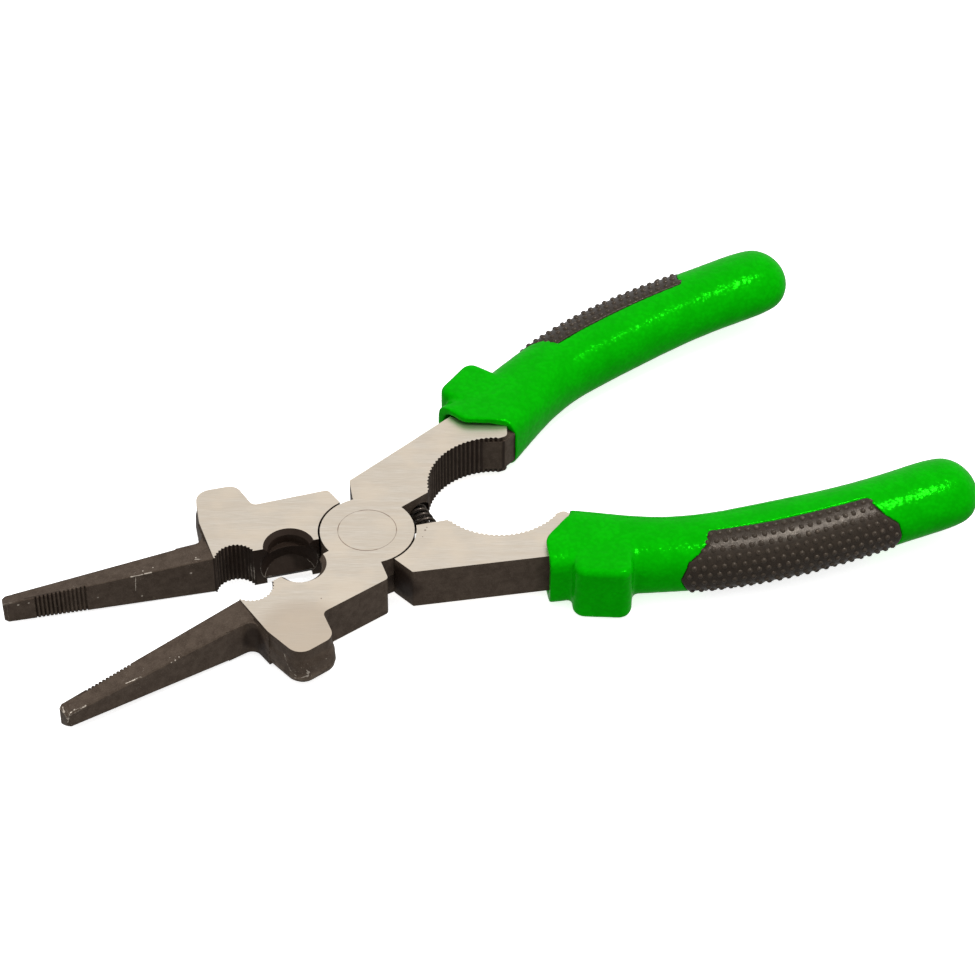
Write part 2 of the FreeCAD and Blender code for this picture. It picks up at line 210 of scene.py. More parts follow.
class Shader:
    """A material made of nodes, with the Principled shader at its end; its textures are measured in mm."""

    def __init__(self, name):
        self.material = bpy.data.materials.new(name)
        self.material.use_nodes = True
        self.tree = self.material.node_tree
        self.tree.nodes.clear()
        self.surface = self.add("ShaderNodeBsdfPrincipled")
        output = self.add("ShaderNodeOutputMaterial")
        self.tree.links.new(self.surface.outputs[0], output.inputs[0])
        place = self.add("ShaderNodeTexCoord")
        scale = self.add("ShaderNodeVectorMath", operation="SCALE")
        self.tree.links.new(place.outputs["Object"], scale.inputs[0])
        scale.inputs["Scale"].default_value = 1 / MM
        self.mm = scale.outputs[0]

    def add(self, kind, **settings):
        node = self.tree.nodes.new(kind)
        for key, value in settings.items():
            setattr(node, key, value)
        return node

    def put(self, socket, value):
        if isinstance(value, bpy.types.NodeSocket):
            self.tree.links.new(value, socket)
        elif isinstance(value, (tuple, list)) and len(value) == 3 and socket.type == "RGBA":
            socket.default_value = (*value, 1.0)
        else:
            socket.default_value = value

    def math(self, operation, a, b=0.0, clamp=False):
        node = self.add("ShaderNodeMath", operation=operation, use_clamp=clamp)
        self.put(node.inputs[0], a)
        self.put(node.inputs[1], b)
        return node.outputs[0]

    def times(self, a, b):
        return self.math("MULTIPLY", a, b)

    def vector(self, operation, a, b):
        node = self.add("ShaderNodeVectorMath", operation=operation)
        self.put(node.inputs[0], a)
        self.put(node.inputs[1], b)
        return node.outputs["Value" if operation == "DOT_PRODUCT" else "Vector"]

    def moved(self, vector, turn=(0, 0, 0), scale=(1, 1, 1)):
        node = self.add("ShaderNodeMapping")
        self.put(node.inputs["Vector"], vector)
        self.put(node.inputs["Rotation"], turn)
        self.put(node.inputs["Scale"], scale)
        return node.outputs[0]

    def noise(self, vector, scale, detail=2.0, roughness=0.5):
        node = self.add("ShaderNodeTexNoise")
        self.put(node.inputs["Vector"], vector)
        self.put(node.inputs["Scale"], scale)
        self.put(node.inputs["Detail"], detail)
        self.put(node.inputs["Roughness"], roughness)
        return node.outputs[0]

    def cells(self, vector, scale):
        """Distance from the middle of the nearest cell, without sharp creases."""
        node = self.add("ShaderNodeTexVoronoi", feature="SMOOTH_F1")
        self.put(node.inputs["Vector"], vector)
        self.put(node.inputs["Scale"], scale)
        return node.outputs["Distance"]

    def ramp(self, value, low, high, to_low=0.0, to_high=1.0):
        """to_low below low, to_high above high, and a soft step between them."""
        node = self.add("ShaderNodeMapRange", interpolation_type="SMOOTHSTEP")
        for i, v in enumerate((value, low, high, to_low, to_high)):
            self.put(node.inputs[i], v)
        return node.outputs[0]

    def mix(self, factor, a, b):
        node = self.add("ShaderNodeMix", data_type="RGBA")
        self.put(node.inputs[0], factor)
        self.put(node.inputs[6], a)
        self.put(node.inputs[7], b)
        return node.outputs[2]

    def bump(self, height, distance, strength=1.0, normal=None):
        node = self.add("ShaderNodeBump")
        self.put(node.inputs["Height"], height)
        self.put(node.inputs["Distance"], distance)
        self.put(node.inputs["Strength"], strength)
        if normal is not None:
            self.put(node.inputs["Normal"], normal)
        return node.outputs[0]

    def mix_normals(self, factor, a, b):
        node = self.add("ShaderNodeMix", data_type="VECTOR")
        self.put(node.inputs[0], factor)
        self.put(node.inputs[4], a)
        self.put(node.inputs[5], b)
        return node.outputs[1]

    def length(self, vector):
        node = self.add("ShaderNodeVectorMath", operation="LENGTH")
        self.put(node.inputs[0], vector)
        return node.outputs["Value"]

    def edges(self, radius):
        """(rounded normal, how far an edge bends it: 0 on flat faces)"""
        node = self.add("ShaderNodeBevel", samples=BEVEL_SAMPLES)
        self.put(node.inputs["Radius"], radius)
        flat = self.add("ShaderNodeNewGeometry").outputs["True Normal"]
        bend = self.math("SUBTRACT", 1.0, self.vector("DOT_PRODUCT", node.outputs[0], flat))
        return node.outputs[0], bend

    def from_line(self, start, end):
        """Distance in mm from the straight line between two points."""
        a, d = Vector(start), Vector(end) - Vector(start)
        offset = self.vector("SUBTRACT", self.mm, tuple(a))
        run = self.vector("DOT_PRODUCT", offset, tuple(d))
        along = self.math("MULTIPLY", run, 1 / d.length_squared, clamp=True)
        foot = self.add("ShaderNodeVectorMath", operation="SCALE")
        self.put(foot.inputs[0], tuple(d))
        self.put(foot.inputs["Scale"], along)
        return self.length(self.vector("SUBTRACT", offset, foot.outputs[0]))

    def near(self, place, radius):
        """1 within a ball, fading out at its skin."""
        distance = self.length(self.vector("SUBTRACT", self.mm, tuple(place)))
        return self.ramp(distance, 0.6 * radius, radius, 1.0, 0.0)

    def most(self, masks):
        """The strongest of some masks; 0 if there are none."""
        result = masks[0] if masks else 0.0
        for mask in masks[1:]:
            result = self.math("MAXIMUM", result, mask)
        return result

    def set(self, **sockets):
        """Fills the Principled shader's sockets and gives the finished material."""
        for key, value in sockets.items():
            self.put(self.surface.inputs[key.replace("_", " ")], value)
        return self.material


BEVEL_SAMPLES = 6
GRINDING_TURN = math.radians(26.95)
EDGE_RADIUS = 0.16 * MM
RIM_WIDTH = 0.34 * MM
BLACK_GRIT_HEIGHT = 0.05 * MM
GRINDING_HEIGHT = 0.006 * MM

# In mm: radius of the fine groove round the rivet's head, and how near the top or underside counts as on it.
RIVET_RING_RADIUS = 6.34
FACE_TOLERANCE = 0.03

# Where use has taken the black off. Lines and spots are bare. In rubbed places only the grains are bare,
# and at rims only the edges. Round "lug" the black has faded near the bottom.
# In mm: start, end and half width of a line; middle and radius of the others.
LOWER_MARKS = {
    "lines": [
        ((-50.6, 10.55, 9.17), (-46.3, 9.7, 9.38), 0.20),
        ((-49.6, 10.4, 9.20), (-49.9, 10.45, 5.0), 0.13),
        ((-36.6, 8.7, 9.95), (-35.0, 7.9, 9.9), 0.12),
    ],
    "spots": [
        ((-47.7, 11.0, 9.33), 0.17), ((-74.4, 15.55, 7.0), 0.22), ((-72.2, 15.05, 7.0), 0.20),
        ((-38.0, 7.95, 7.1), 0.24), ((-48.7, 10.2, 3.0), 0.2), ((-45.4, 10.9, 9.45), 0.14),
        ((-57.9, 12.1, 4.9), 0.16), ((-36.2, 9.1, 9.95), 0.2),
    ],
    "rubbed": [
        ((-60.0, 12.6, 6.8), 3.2), ((-62.8, 13.0, 6.6), 3.2),
        ((-48.5, 10.2, 9.0), 3.0), ((-36.5, 8.5, 9.6), 3.5),
    ],
    "rims": [((-22.8, 5.2, 3.4), 3.4), ((-11.2, 2.4, 3.6), 2.8), ((-77.0, 17.0, 5.0), 4.0)],
    "lug": [((-26.5, 27.0, 2.5), 11.0)],
}
UPPER_MARKS = {
    "lines": [
        ((-62.9, -16.95, 8.12), (-58.6, -16.75, 8.42), 0.17),
        ((-76.4, -18.95, 6.85), (-72.4, -18.45, 7.45), 0.19),
        ((-76.8, -16.9, 7.75), (-76.95, -18.1, 7.2), 0.15),
        ((-76.95, -18.2, 7.1), (-76.55, -19.05, 6.3), 0.17),
        ((-76.2, -19.0, 7.1), (-76.7, -19.05, 5.2), 0.16),
        ((-75.9, -18.85, 7.35), (-74.7, -18.45, 7.45), 0.15),
        ((-30.0, -23.1, 7.4), (-29.85, -25.1, 4.7), 0.12),
        ((-29.8, -25.2, 4.5), (-29.0, -26.5, 3.4), 0.13),
        ((-29.3, -26.2, 2.6), (-27.8, -27.35, 3.2), 0.18),
        ((-27.8, -27.35, 3.2), (-26.7, -27.6, 3.7), 0.16),
        ((-26.4, -27.65, 4.2), (-27.0, -27.5, 5.1), 0.14),
    ],
    "spots": [
        ((-51.4, -15.75, 8.55), 0.2), ((-52.3, -16.0, 8.5), 0.15), ((-50.4, -15.4, 8.7), 0.14),
        ((-76.95, -17.9, 7.3), 0.26), ((-76.6, -19.0, 6.2), 0.28), ((-26.7, -27.6, 4.3), 0.34),
        ((-26.9, -27.6, 3.4), 0.28), ((-22.2, -26.6, 5.6), 0.22),
    ],
    "rubbed": [
        ((-76.0, -18.0, 5.6), 3.4), ((-60.5, -16.8, 8.2), 4.0),
        ((-51.5, -15.8, 8.4), 2.8), ((-28.0, -27.4, 4.2), 4.4),
    ],
    "rims": [((-76.5, -17.8, 5.5), 4.2), ((-13.5, -6.8, 8.5), 2.6), ((-27.5, -27.0, 2.0), 5.0)],
    "lug": [((-26.5, -27.0, 2.5), 11.0)],
}
NO_MARKS = {"lines": [], "spots": [], "rubbed": [], "rims": [], "lug": []}

# Painted shade: middle and radius of a shaded hollow in mm, and the strength of the near-black shade there.
LOWER_SHADED_HOLLOWS = [
    ((-17.1, 6.2, 8.4), 12.5, 0.86), ((-27.5, 7.0, 5.0), 4.6, 0.6), ((3.4, -12.4, 5.0), 5.2, 0.85),
]
UPPER_SHADED_HOLLOWS = [
    ((-15.8, -5.0, 4.0), 6.0, 0.8), ((-32.5, -14.5, 5.0), 4.0, 0.7),
    ((45.2, 5.4, 9.8), 3.0, 0.85), ((-33.0, -16.5, 2.0), 3.0, 0.5),
]

# Serrated arcs, with painted shade between their teeth, in mm: middle in plan, and the radius of the tooth
# crests.
LOWER_ARCS = [((31.49, -0.86), 14.7), ((-29.03, 4.33), 4.4)]
UPPER_ARCS = [((31.49, 0.86), 14.7), ((-29.03, -4.33), 4.4)]
ARC_GROOVE_DEPTH = 0.38

# The nose teeth with painted shade between them, in mm: their range along x, and their depth.
SHADED_NOSE_TEETH = (-73.0, -65.3)
NOSE_GROOVE_DEPTH = 0.5

# In the ground faces, in mm: a yellowed place, and small dents, each with its radius.
STAIN = ((-25.5, -23.0, 10.3), 13.0)
PITS = [
    ((11.2, -5.6, 10.3), 0.28), ((11.9, -5.0, 10.3), 0.18),
    ((9.8, -7.2, 10.3), 0.16), ((-17.5, -14.5, 10.3), 0.2),
]


def bare_metal(s, marks, bend):
    """Mask of the places where the black has worn off."""
    _, wide_bend = s.edges(RIM_WIDTH)
    grain = s.noise(s.mm, 3.6, detail=3.0, roughness=0.8)
    chips = s.noise(s.mm, 1.1, detail=4.0, roughness=0.7)
    waver = s.times(s.math("SUBTRACT", 0.56, s.noise(s.mm, 1.9, detail=3.0, roughness=0.75)), 2.4)

    masks = [
        s.times(s.ramp(bend, 0.05, 0.18), s.times(s.ramp(chips, 0.60, 0.70), 0.7)),
        s.times(s.ramp(grain, 0.78, 0.82), 0.4),
    ]
    for start, end, width in marks["lines"]:
        distance = s.math("ADD", s.from_line(start, end), s.times(waver, width))
        masks.append(s.ramp(distance, 0.5 * width, width, 1.0, 0.0))
    for place, radius in marks["spots"]:
        masks.append(s.times(s.near(place, radius * 1.3), s.ramp(grain, 0.36, 0.5)))
    for place, radius in marks["rubbed"]:
        masks.append(s.times(s.near(place, radius), s.ramp(grain, 0.64, 0.69, 0.0, 0.6)))
    for place, radius in marks["rims"]:
        edge = s.times(s.ramp(wide_bend, 0.02, 0.09), s.ramp(chips, 0.40, 0.55))
        masks.append(s.times(s.near(place, radius), edge))
    return s.most(masks)


def arc_grooves(s, arc):
    """Mask of the bottoms between the teeth of a serrated arc, where shade is painted."""
    (cx, cy), crest = arc
    offset = s.vector("SUBTRACT", s.vector("MULTIPLY", s.mm, (1.0, 1.0, 0.0)), (cx, cy, 0.0))
    depth = s.math("SUBTRACT", s.length(offset), crest)
    inside = s.math("LESS_THAN", depth, 1.3 * ARC_GROOVE_DEPTH)
    return s.times(inside, s.ramp(depth, 0.0, 0.6 * ARC_GROOVE_DEPTH))


def nose_grooves(s, x, y, side):
    """Mask of the bottoms between the teeth of a nose, where shade is painted; side is as in turned()."""
    into_x, into_y = math.sin(REST_HALF_OPENING), -side * math.cos(REST_HALF_OPENING)
    depth = s.math("ADD", s.times(x, into_x), s.times(y, into_y))
    low, high = SHADED_NOSE_TEETH
    inside = s.times(s.math("GREATER_THAN", x, low), s.math("LESS_THAN", x, high))
    inside = s.times(inside, s.math("LESS_THAN", depth, 1.3 * NOSE_GROOVE_DEPTH))
    return s.times(inside, s.ramp(depth, 0.1 * NOSE_GROOVE_DEPTH, 0.8 * NOSE_GROOVE_DEPTH, 0.0, 0.7))


def ground_colour(s, streak, along):
    """(colour of the ground faces, mask of the groove round the rivet's head)"""
    broad = s.noise(s.moved(along, scale=(0.05, 0.8, 0.1)), 1.0, detail=2.0)
    cloud = s.noise(s.mm, 0.12, detail=3.0)
    bright = s.mix(s.ramp(streak, 0.3, 0.7), (0.63, 0.56, 0.465), (0.79, 0.72, 0.63))
    bright = s.mix(s.ramp(broad, 0.35, 0.65, 0.0, 0.5), bright, (0.66, 0.57, 0.46))
    bright = s.mix(s.ramp(cloud, 0.42, 0.66, 0.0, 0.5), bright, (0.80, 0.69, 0.555))

    radius = s.length(s.vector("MULTIPLY", s.mm, (1.0, 1.0, 0.0)))
    off_ring = s.math("ABSOLUTE", s.math("SUBTRACT", radius, RIVET_RING_RADIUS))
    broken = s.ramp(s.noise(s.mm, 0.35, detail=2.0), 0.36, 0.6, 0.35, 0.95)
    ring = s.times(s.ramp(off_ring, 0.05, 0.15, 1.0, 0.0), broken)
    bright = s.mix(ring, bright, (0.17, 0.095, 0.06))

    pits = s.most([s.near(*pit) for pit in PITS])
    bright = s.mix(s.times(pits, 0.75), bright, (0.16, 0.10, 0.07))
    bright = s.mix(s.times(s.near(*STAIN), 0.55), bright, (0.54, 0.44, 0.34))
    return bright, ring


def black_colour(s, mottle, fine, look):
    """Colour of the forged faces, with painted shade in recesses and between teeth, and a faded lug."""
    split = s.add("ShaderNodeSeparateXYZ")
    s.put(split.inputs[0], s.mm)
    x, y, z = split.outputs
    dark = s.mix(s.ramp(mottle, 0.3, 0.72), (0.046, 0.0315, 0.0225), (0.074, 0.0535, 0.0395))
    dark = s.mix(s.ramp(fine, 0.44, 0.75, 0.0, 0.55), dark, (0.13, 0.100, 0.076))

    # Painted shade: near-black in the listed shaded places and in the bottoms between teeth.
    painted_shade = [s.times(s.near(place, radius), strength) for place, radius, strength in look["shaded_hollows"]]
    if look["arcs"]:
        teeth = [arc_grooves(s, arc) for arc in look["arcs"]] + [nose_grooves(s, x, y, look["side"])]
        painted_shade.append(s.times(s.most(teeth), 0.85))
    dark = s.mix(s.most(painted_shade), dark, (0.012, 0.006, 0.004))

    low_down = s.times(s.ramp(z, 2.2, 4.6, 1.0, 0.0), s.ramp(mottle, 0.38, 0.6))
    lug = s.most([s.near(place, radius) for place, radius in look["marks"]["lug"]])
    return s.mix(s.times(s.times(low_down, lug), 0.75), dark, (0.150, 0.112, 0.082))


def steel(name, look):
    """Blackened forging with bright ground faces at the tool's top and underside."""
    s = Shader(name)
    geometry = s.add("ShaderNodeNewGeometry")
    split = s.add("ShaderNodeSeparateXYZ")
    s.put(split.inputs[0], s.mm)
    lie = s.add("ShaderNodeSeparateXYZ")
    s.put(lie.inputs[0], geometry.outputs["True Normal"])
    level = s.math("GREATER_THAN", s.math("ABSOLUTE", lie.outputs[2]), 0.9)
    top = s.math("GREATER_THAN", split.outputs[2], JAW_TOP / MM - FACE_TOLERANCE)
    under = s.math("LESS_THAN", split.outputs[2], FACE_TOLERANCE)
    ground = s.times(level, s.math("MAXIMUM", top, under))
    black = s.math("SUBTRACT", 1.0, ground)

    along = s.moved(s.mm, turn=(0, 0, GRINDING_TURN))
    streak = s.noise(s.moved(along, scale=(0.26, 7.0, 0.4)), 1.0, detail=4.0, roughness=0.7)
    bright, ring = ground_colour(s, streak, along)

    mottle = s.noise(s.mm, 0.55, detail=5.0, roughness=0.6)
    fine = s.noise(s.mm, 4.2, detail=4.0, roughness=0.7)
    rounded, bend = s.edges(EDGE_RADIUS)
    worn = s.times(bare_metal(s, look["marks"], bend), 0.85)
    dark = s.mix(worn, black_colour(s, mottle, fine, look), (0.62, 0.55, 0.47))

    bare_ground = s.times(ground, s.math("SUBTRACT", 1.0, ring))
    ground_roughness = s.times(s.ramp(streak, 0.25, 0.75, 0.42, 0.33), ground)
    black_roughness = s.times(s.ramp(mottle, 0.3, 0.7, 0.56, 0.44), black)
    grit = s.math("ADD", s.times(mottle, 1.2), s.times(fine, 0.6))
    height = s.math("ADD", BLACK_GRIT_HEIGHT, s.times(ground, GRINDING_HEIGHT - BLACK_GRIT_HEIGHT))
    normal = s.mix_normals(ground, rounded, geometry.outputs["Normal"])
    return s.set(
        Base_Color=s.mix(ground, dark, bright),
        Metallic=s.math("MAXIMUM", bare_ground, worn),
        Roughness=s.math("ADD", ground_roughness, black_roughness),
        Specular_IOR_Level=0.18,
        Specular_Tint=(1.0, 0.86, 0.74),
        Normal=s.bump(s.mix(ground, grit, streak), height, 0.8, normal),
    )


def pvc(name):
    """Dipped PVC: saturated, a little glossy, with a fine pebbled grain."""
    s = Shader(name)
    grain = s.cells(s.moved(s.mm, scale=(1.0, 1.0, 1.15)), 1.15)
    fine = s.noise(s.mm, 5.5, detail=3.0, roughness=0.65)
    soft = s.noise(s.mm, 0.22, detail=3.0)
    colour = s.mix(s.ramp(soft, 0.3, 0.7), (0.0006, 0.375, 0.0006), (0.0009, 0.43, 0.0008))
    colour = s.mix(s.ramp(grain, 0.28, 0.6, 0.0, 0.4), colour, (0.0004, 0.31, 0.0004))
    colour = s.mix(s.ramp(fine, 0.58, 0.8, 0.0, 0.35), colour, (0.0012, 0.52, 0.0010))
    height = s.math("ADD", s.times(grain, -1.0), s.times(fine, 0.22))
    return s.set(
        Base_Color=colour,
        Metallic=0.17,
        Roughness=s.ramp(fine, 0.3, 0.7, 0.15, 0.22),
        Specular_IOR_Level=0.05,
        Specular_Tint=(0.3, 1.0, 0.15),
        Normal=s.bump(height, 0.062 * MM, 1.0),
    )


def rubber(name):
    """Black-brown rubber, with painted shade in the concave places between the dots and a painted highlight
    on the dots' crowns.
    """
    s = Shader(name)
    mottle = s.noise(s.mm, 0.9, detail=4.0, roughness=0.6)
    fine = s.noise(s.mm, 5.0, detail=4.0, roughness=0.7)
    colour = s.mix(s.ramp(mottle, 0.3, 0.7), (0.010, 0.0062, 0.0036), (0.022, 0.0148, 0.0095))
    colour = s.mix(s.ramp(fine, 0.5, 0.8, 0.0, 0.6), colour, (0.085, 0.064, 0.047))
    painted_light_pointiness = s.add("ShaderNodeNewGeometry").outputs["Pointiness"]
    # Painted shade: near-black where the surface is concave, between and round the dots.
    colour = s.mix(s.ramp(painted_light_pointiness, 0.44, 0.49, 0.75, 0.0), colour, (0.003, 0.0018, 0.001))
    # Painted highlight: lighter where the surface is convex, on the dots' crowns.
    colour = s.mix(s.ramp(painted_light_pointiness, 0.515, 0.60, 0.0, 0.7), colour, (0.105, 0.082, 0.062))
    return s.set(
        Base_Color=colour,
        Roughness=s.ramp(mottle, 0.3, 0.7, 0.34, 0.24),
        Specular_IOR_Level=0.34,
        Specular_Tint=(1.0, 0.88, 0.76),
        Normal=s.bump(s.math("ADD", s.times(fine, 0.8), mottle), 0.05 * MM, 0.8),
    )


def wire(name):
    """Blackened spring wire with drawing marks and brighter rubbed flecks."""
    s = Shader(name)
    mottle = s.noise(s.mm, 1.6, detail=4.0)
    fine = s.noise(s.mm, 9.0, detail=2.0)
    colour = s.mix(s.ramp(mottle, 0.35, 0.7), (0.030, 0.022, 0.018), (0.10, 0.080, 0.064))
    colour = s.mix(s.ramp(fine, 0.6, 0.8, 0.0, 0.5), colour, (0.26, 0.22, 0.19))
    return s.set(
        Base_Color=colour,
        Metallic=0.7,
        Roughness=s.ramp(mottle, 0.3, 0.7, 0.38, 0.24),
        Normal=s.bump(fine, 0.02 * MM, 0.7),
    )


def paint(obj, material):
    obj.data.materials.clear()
    obj.data.materials.append(material)


# ---------------------------------------------------------------- grips

def turned(side):
    """From the shut tool's lower half to a half at rest; side is -1 for the lower and 1 for the upper."""
    mirror = Matrix.Diagonal((1, -side, 1, 1))
    return Matrix.Rotation(side * REST_HALF_OPENING, 4, "Z") @ mirror


def grip_line(side):
    """(evenly spaced points with directions, length) of a grip's centre line at rest."""
    xs = np.array([p[0] for p in GRIP_LINE], float)
    ys = np.array([p[1] for p in GRIP_LINE], float)
    fit = np.polyfit(xs, ys, 4)
    dense = np.linspace(xs[0], xs[-1], GRIP_LINE_STEPS)
    line = np.stack([dense, np.polyval(fit, dense)], 1)
    run = np.r_[0, np.cumsum(np.linalg.norm(np.diff(line, axis=0), axis=1))]
    places = np.linspace(0, run[-1], GRIP_LINE_STEPS)
    at = np.stack([np.interp(places, run, line[:, 0]), np.interp(places, run, line[:, 1])], 1)
    slope = np.polyval(np.polyder(fit), at[:, 0])
    m = turned(side)
    result = []
    for (x, y), k in zip(at, slope):
        p = m @ Vector((x * MM, y * MM, MID_Z))
        d = (m.to_3x3() @ Vector((1, k, 0))).normalized()
        result.append((p, d))
    return result, run[-1] * MM


def sleeve(node, name, body, side):
    """The dipped sleeve with its edges rounded, its corners filled and its wall a little uneven."""
    obj = remeshed(copy_of(node, name), SLEEVE_VOXEL)
    skin = Skin(obj)
    skin.soften(3)
    skin.fill_hollows(SLEEVE_FILLET_ROUNDS, SLEEVE_LEAST_HOLLOW)
    skin.soften(1)

    def wander(p):
        q = p / MM
        return (0.05 * noise.noise(q * 0.16 + Vector((side * 7, 0, 0))) + 0.025 * noise.noise(q * 0.7)) * MM

    skin.swell(wander)
    skin.done()
    paint(obj, GREEN)
    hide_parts(node)
    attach(obj, body)


def dome(bm, place, normal, radius, height):
    """A small moulded dot, closed, with its foot sunk in the pad."""
    turn = normal.to_track_quat("Z", "Y").to_matrix().to_4x4()
    m = Matrix.Translation(place) @ turn
    levels = [(-DOT_SINK, 1.12), (0.0, 1.06)]
    levels += [(height * math.sin(a), math.cos(a)) for a in np.linspace(0.2, 1.35, DOT_RINGS)]
    loops = []
    for z, r in levels:
        loops.append([
            bm.verts.new(m @ Vector((radius * r * math.cos(t), radius * r * math.sin(t), z)))
            for t in np.linspace(0, 2 * math.pi, DOT_SEGMENTS, endpoint=False)
        ])
    cap = bm.verts.new(m @ Vector((0, 0, height)))
    foot = bm.verts.new(m @ Vector((0, 0, -DOT_SINK)))
    for a, b in zip(loops, loops[1:]):
        for i in range(DOT_SEGMENTS):
            j = (i + 1) % DOT_SEGMENTS
            bm.faces.new((a[i], a[j], b[j], b[i])).smooth = True
    for i in range(DOT_SEGMENTS):
        j = (i + 1) % DOT_SEGMENTS
        bm.faces.new((loops[-1][i], loops[-1][j], cap)).smooth = True
        bm.faces.new((loops[0][j], loops[0][i], foot)).smooth = True


class PadSurface:
    """A pad's outer surface, seen from the centre line of its grip."""

    def __init__(self, mesh, side):
        self.tree = BVHTree.FromPolygons([v.co for v in mesh.vertices], [p.vertices for p in mesh.polygons])
        self.side = side
        self.line, self.length = grip_line(side)

    def hit(self, run, angle):
        """(place, normal), or (None, None) beside the pad; angle 0 is level, outwards."""
        last = len(self.line) - 1
        i = min(last, max(0, int(round(run / self.length * last))))
        p, d = self.line[i]
        level = Vector((-d.y, d.x, 0)) * self.side
        ray = level * math.cos(angle) + Vector((0, 0, 1)) * math.sin(angle)
        place, normal, _, _ = self.tree.ray_cast(p + ray * OUTSIDE_GRIP, -ray, OUTSIDE_GRIP)
        return place, normal

    def rows(self):
        """Angles of the rows of dots, at even distances round the pad's section."""
        arc, table, last = 0.0, [], None
        for angle in np.radians(np.linspace(-100, 100, 401)):
            place, _ = self.hit(self.length * PAD_MIDDLE, angle)
            if place is None:
                continue
            arc += (place - last).length if last is not None else 0.0
            table.append((arc, angle))
            last = place
        if not table:
            raise RuntimeError("the pad wasn't found from its grip's centre line")
        arcs, angles = np.array(table).T
        count = int((arcs[-1] - 2 * DOT_EDGE_MARGIN) // DOT_ROW_PITCH) + 1
        start = (arcs[-1] - (count - 1) * DOT_ROW_PITCH) / 2
        return [float(np.interp(start + row * DOT_ROW_PITCH, arcs, angles)) for row in range(count)]

    def goes_on_round(self, run, angle):
        """Whether the pad goes on for a dot's margin on all sides."""
        turn = DOT_EDGE_MARGIN / GRIP_RADIUS
        return all(
            self.hit(run + i * DOT_EDGE_MARGIN, angle + j * turn)[0] is not None
            for i in (-1, 0, 1) for j in (-1, 0, 1)
        )


def pad(node, name, body, side):
    """The rubber pad with its rows of raised dots, each row shifted by half a pitch from the last."""
    obj = remeshed(copy_of(node, name), PAD_VOXEL)
    skin = Skin(obj)
    skin.soften(4)
    skin.swell(lambda p: PAD_UNEVENNESS * noise.noise(p / MM * 0.5))
    skin.done()

    surface = PadSurface(obj.data, side)
    rng = np.random.default_rng(DOT_SEED + side)
    bm = bmesh.new()
    bm.from_mesh(obj.data)
    for row, angle in enumerate(surface.rows()):
        along = DOT_PITCH / 2 * (row % 2)
        while along < surface.length:
            run = along + float(rng.normal(0, DOT_STRAY))
            if surface.goes_on_round(run, angle):
                place, normal = surface.hit(run, angle)
                grow = 1 + float(rng.normal(0, DOT_SIZE_SPREAD))
                dome(bm, place, normal, DOT_RADIUS * grow, DOT_HEIGHT * grow)
            along += DOT_PITCH
    own_mesh(obj, bm)
    paint(obj, RUBBER)
    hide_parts(node)
    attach(obj, body)


# ---------------------------------------------------------------- spring

def coil_rise(turns, open_turns):
    """How far along its axis the coil has come after some turns."""
    closed = SPRING_CLOSED_TURNS
    if turns < closed:
        return turns * SPRING_CLOSED_PITCH
    if turns < closed + open_turns:
        return closed * SPRING_CLOSED_PITCH + (turns - closed) * SPRING_PITCH
    past = turns - closed - open_turns
    return closed * SPRING_CLOSED_PITCH + open_turns * SPRING_PITCH + past * SPRING_CLOSED_PITCH


def spring():
    """A coil with its turns closed up at both ends, from socket to socket."""
    lo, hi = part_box("return_spring")
    cx, cz = (lo.x + hi.x) / 2, (lo.z + hi.z) / 2
    radius = (hi.x - lo.x) / 2 - SPRING_WIRE
    start, end = lo.y + SPRING_WIRE, hi.y - SPRING_WIRE
    open_turns = (end - start - 2 * SPRING_CLOSED_TURNS * SPRING_CLOSED_PITCH) / SPRING_PITCH
    turns = open_turns + 2 * SPRING_CLOSED_TURNS
    path = []
    for i in range(int(turns * SPRING_STEPS) + 1):
        t = i / SPRING_STEPS
        a = 2 * math.pi * t
        y = start + coil_rise(t, open_turns)
        path.append(Vector((cx + radius * math.cos(a), y, cz + radius * math.sin(a))))

    bm = bmesh.new()
    loops = []
    for i, p in enumerate(path):
        d = (path[min(i + 1, len(path) - 1)] - path[max(i - 1, 0)]).normalized()
        axis = Vector((p.x - cx, 0, p.z - cz)).normalized()
        other = d.cross(axis).normalized()
        axis = other.cross(d).normalized()
        loops.append([
            bm.verts.new(p + SPRING_WIRE * (axis * math.cos(t) + other * math.sin(t)))
            for t in np.linspace(0, 2 * math.pi, SPRING_SEGMENTS, endpoint=False)
        ])
    for a, b in zip(loops, loops[1:]):
        for i in range(SPRING_SEGMENTS):
            j = (i + 1) % SPRING_SEGMENTS
            bm.faces.new((a[i], b[i], b[j], a[j])).smooth = True
    bm.faces.new(loops[0])
    bm.faces.new(loops[-1][::-1])
    bmesh.ops.recalc_face_normals(bm, faces=bm.faces)

    obj = linked("return_spring_coil", bpy.data.meshes.new("return_spring_coil"))
    own_mesh(obj, bm)
    paint(obj, WIRE)
    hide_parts("return_spring")
    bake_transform(obj)


# ---------------------------------------------------------------- the tool

GREEN = pvc("green_dipped_pvc")
RUBBER = rubber("black_rubber")
WIRE = wire("spring_wire_black")

STEEL_LOOKS = {
    "lower_half": {"marks": LOWER_MARKS, "shaded_hollows": LOWER_SHADED_HOLLOWS, "arcs": LOWER_ARCS, "side": -1},
    "upper_half": {"marks": UPPER_MARKS, "shaded_hollows": UPPER_SHADED_HOLLOWS, "arcs": UPPER_ARCS, "side": 1},
    "pivot_rivet": {"marks": NO_MARKS, "shaded_hollows": [], "arcs": []},
}
for node, look in STEEL_LOOKS.items():
    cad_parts[node].material_slots[0].material = steel(node + "_finish", look)

sleeve("lower_sleeve", "lower_sleeve_skin", LOWER, -1)
sleeve("upper_sleeve", "upper_sleeve_skin", UPPER, 1)
pad("lower_pad", "lower_pad_dotted", LOWER, -1)
pad("upper_pad", "upper_pad_dotted", UPPER, 1)
spring()


